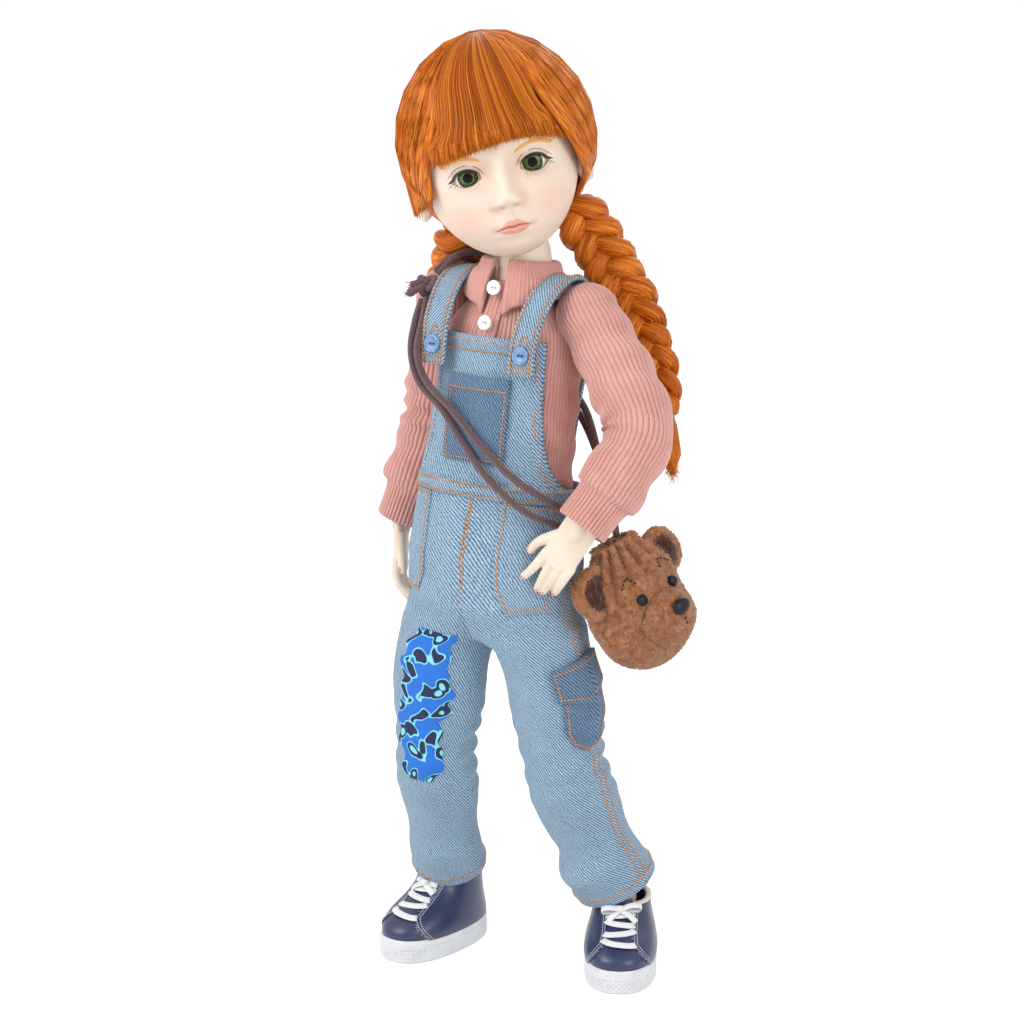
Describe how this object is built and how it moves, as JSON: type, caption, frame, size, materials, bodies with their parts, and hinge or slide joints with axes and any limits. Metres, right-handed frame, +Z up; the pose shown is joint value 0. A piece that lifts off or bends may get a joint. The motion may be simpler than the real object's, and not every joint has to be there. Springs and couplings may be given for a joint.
{
  "type": "fashion doll",
  "caption": "Jointed vinyl fashion doll with braided wig, standing on its shoes in a knit shirt, denim overalls and a plush shoulder bag.",
  "frame": {"origin": "on the floor under the middle of the doll's outline", "axes": "+Z up, +Y behind the doll, +X to the doll's own left"},
  "size_m": [0.1385, 0.0884, 0.3681],
  "materials": {
    "vinyl_skin": "rotocast vinyl, ivory, satin-matt",
    "joint_vinyl": "hard vinyl, ivory, satin",
    "eye_acrylic": "clear-domed green acrylic eye",
    "hair_fibre": "combed copper wig fibre, soft sheen",
    "tie_elastic": "silvery grey covered elastic",
    "rib_knit": "dusty pink rib knit",
    "shell_button": "pearly white button",
    "denim": "washed light blue denim twill",
    "dark_denim": "darker blue denim twill",
    "blue_button": "glossy blue button",
    "patch_felt": "blue sewn patch",
    "shoe_leather": "smooth navy leather",
    "sole_rubber": "white moulded rubber",
    "lace_cotton": "flat white cotton lace",
    "bag_plush": "short brown plush",
    "bag_cord": "mauve-brown twisted cord"
  },
  "bodies": {
    "torso": {"torso": "vinyl_skin", "shirt_body": "rib_knit", "shirt_collar": "rib_knit", "shirt_button_upper": "shell_button", "shirt_button_lower": "shell_button", "overalls_seat": "denim", "overalls_bib": "denim", "bib_pocket": "dark_denim", "shoulder_strap_left": "denim", "shoulder_strap_right": "denim", "strap_button_left": "blue_button", "strap_button_right": "blue_button", "bag_cord_front": "bag_cord", "bag_cord_back": "bag_cord", "bag_cord_knot": "bag_cord"},
    "neck": {"neck_ball": "vinyl_skin", "braid_left": "hair_fibre", "braid_right": "hair_fibre", "hair_tie_left": "tie_elastic", "hair_tie_right": "tie_elastic"},
    "head": {"head_shell": "vinyl_skin", "eye_left": "eye_acrylic", "eye_right": "eye_acrylic", "wig_cap": "hair_fibre", "fringe": "hair_fibre"},
    "bag": {"bag_pouch": "bag_plush", "bag_ear_left": "bag_plush", "bag_ear_right": "bag_plush"},
    "shoulder_left": {"shoulder_link_left": "joint_vinyl"},
    "upper_arm_left": {"upper_arm_left": "vinyl_skin", "sleeve_upper_left": "rib_knit"},
    "forearm_left": {"forearm_left": "vinyl_skin", "sleeve_lower_left": "rib_knit"},
    "hand_left": {"hand_left": "vinyl_skin"},
    "hip_left": {"hip_link_left": "joint_vinyl"},
    "thigh_left": {"thigh_left": "vinyl_skin", "trouser_thigh_left": "denim", "cargo_pocket": "dark_denim"},
    "shin_left": {"shin_left": "vinyl_skin", "trouser_shin_left": "denim"},
    "foot_left": {"foot_left": "vinyl_skin", "shoe_upper_left": "shoe_leather", "shoe_sole_left": "sole_rubber", "shoe_laces_left": "lace_cotton"},
    "shoulder_right": {"shoulder_link_right": "joint_vinyl"},
    "upper_arm_right": {"upper_arm_right": "vinyl_skin", "sleeve_upper_right": "rib_knit"},
    "forearm_right": {"forearm_right": "vinyl_skin", "sleeve_lower_right": "rib_knit"},
    "hand_right": {"hand_right": "vinyl_skin"},
    "hip_right": {"hip_link_right": "joint_vinyl"},
    "thigh_right": {"thigh_right": "vinyl_skin", "trouser_thigh_right": "denim", "leg_patch": "patch_felt"},
    "shin_right": {"shin_right": "vinyl_skin", "trouser_shin_right": "denim"},
    "foot_right": {"foot_right": "vinyl_skin", "shoe_upper_right": "shoe_leather", "shoe_sole_right": "sole_rubber", "shoe_laces_right": "lace_cotton"}
  },
  "joints": [
    {"name": "head_turn", "type": "hinge", "parent": "torso", "child": "neck", "pos_m": [-0.0051, 0.00086, 0.28315], "axis": [0.0262, 0.1132, 0.9932], "range_deg": [-60, 16], "deforming": ["braid_left", "braid_right", "hair_tie_left", "hair_tie_right"]},
    {"name": "head_nod", "type": "hinge", "parent": "neck", "child": "head", "pos_m": [-0.0051, 0.00086, 0.28315], "axis": [0.8087, 0.5816, -0.0876], "range_deg": [-6, 6], "deforming": ["braid_left", "braid_right", "hair_tie_left", "hair_tie_right"]},
    {"name": "shoulder_swing_left", "type": "hinge", "parent": "torso", "child": "shoulder_left", "pos_m": [0.02592, -0.00127, 0.26446], "axis": [-0.9997, 0.003, 0.026], "range_deg": [0, 80], "deforming": ["shirt_body", "sleeve_upper_left"]},
    {"name": "shoulder_raise_left", "type": "hinge", "parent": "shoulder_left", "child": "upper_arm_left", "pos_m": [0.02592, -0.00127, 0.26446], "axis": [0, -0.9936, 0.1132], "range_deg": [0, 50], "deforming": ["shirt_body", "sleeve_upper_left"]},
    {"name": "elbow_left", "type": "hinge", "parent": "upper_arm_left", "child": "forearm_left", "pos_m": [0.05727, -0.00978, 0.22385], "axis": [-0.2764, 0.8753, -0.3969], "range_deg": [-45, 5], "deforming": ["sleeve_lower_left"]},
    {"name": "wrist_turn_left", "type": "hinge", "parent": "forearm_left", "child": "hand_left", "pos_m": [0.04059, -0.0304, 0.19], "axis": [0.3878, 0.4795, 0.7872], "range_deg": [-10, 10]},
    {"name": "shoulder_swing_right", "type": "hinge", "parent": "torso", "child": "shoulder_right", "pos_m": [-0.03706, -0.00108, 0.26609], "axis": [-0.9997, 0.003, 0.026], "range_deg": [-25, 30], "deforming": ["shirt_body", "sleeve_upper_right"]},
    {"name": "shoulder_raise_right", "type": "hinge", "parent": "shoulder_right", "child": "upper_arm_right", "pos_m": [-0.03706, -0.00108, 0.26609], "axis": [0, 0.9936, -0.1132], "range_deg": [0, 60], "deforming": ["shirt_body", "sleeve_upper_right"]},
    {"name": "elbow_right", "type": "hinge", "parent": "upper_arm_right", "child": "forearm_right", "pos_m": [-0.04765, 0.00561, 0.21563], "axis": [-0.9316, 0.2795, 0.2326], "range_deg": [-5, 75], "deforming": ["sleeve_lower_right"]},
    {"name": "wrist_turn_right", "type": "hinge", "parent": "forearm_right", "child": "hand_right", "pos_m": [-0.0599, -0.00141, 0.17501], "axis": [0.2848, 0.1632, 0.9446], "range_deg": [-30, 30]},
    {"name": "hip_swing_left", "type": "hinge", "parent": "torso", "child": "hip_left", "pos_m": [0.00859, -0.01345, 0.15756], "axis": [-0.9997, 0.003, 0.026], "range_deg": [-12, 35], "deforming": ["overalls_seat", "trouser_thigh_left", "cargo_pocket"]},
    {"name": "hip_spread_left", "type": "hinge", "parent": "hip_left", "child": "thigh_left", "pos_m": [0.00859, -0.01345, 0.15756], "axis": [0, -0.9936, 0.1132], "range_deg": [-5, 3], "deforming": ["overalls_seat", "trouser_thigh_left", "cargo_pocket"]},
    {"name": "knee_left", "type": "hinge", "parent": "thigh_left", "child": "shin_left", "pos_m": [0.01727, 0.00157, 0.09016], "axis": [0.9895, -0.099, 0.1053], "range_deg": [0, 70], "deforming": ["trouser_shin_left", "cargo_pocket"]},
    {"name": "ankle_left", "type": "hinge", "parent": "shin_left", "child": "foot_left", "pos_m": [0.0266, 0.02661, 0.026], "axis": [0.8829, 0.4695, 0], "range_deg": [-8, 8]},
    {"name": "hip_swing_right", "type": "hinge", "parent": "torso", "child": "hip_right", "pos_m": [-0.02539, -0.01335, 0.15845], "axis": [-0.9997, 0.003, 0.026], "range_deg": [-12, 45], "deforming": ["overalls_seat", "trouser_thigh_right", "leg_patch"]},
    {"name": "hip_spread_right", "type": "hinge", "parent": "hip_right", "child": "thigh_right", "pos_m": [-0.02539, -0.01335, 0.15845], "axis": [0, 0.9936, -0.1132], "range_deg": [-6, 15], "deforming": ["overalls_seat", "trouser_thigh_right", "leg_patch"]},
    {"name": "knee_right", "type": "hinge", "parent": "thigh_right", "child": "shin_right", "pos_m": [-0.03717, -0.01456, 0.08986], "axis": [0.9811, -0.0981, -0.1667], "range_deg": [-15, 60], "deforming": ["trouser_shin_right", "leg_patch"]},
    {"name": "ankle_right", "type": "hinge", "parent": "shin_right", "child": "foot_right", "pos_m": [-0.0454, 0.0116, 0.026], "axis": [0.9945, -0.1045, 0], "range_deg": [-8, 8]},
    {"name": "bag_swing", "type": "hinge", "parent": "torso", "child": "bag", "pos_m": [0.03661, -0.00078, 0.17979], "axis": [-0.2094, -0.9409, -0.266], "range_deg": [0, 30]}
  ]
}
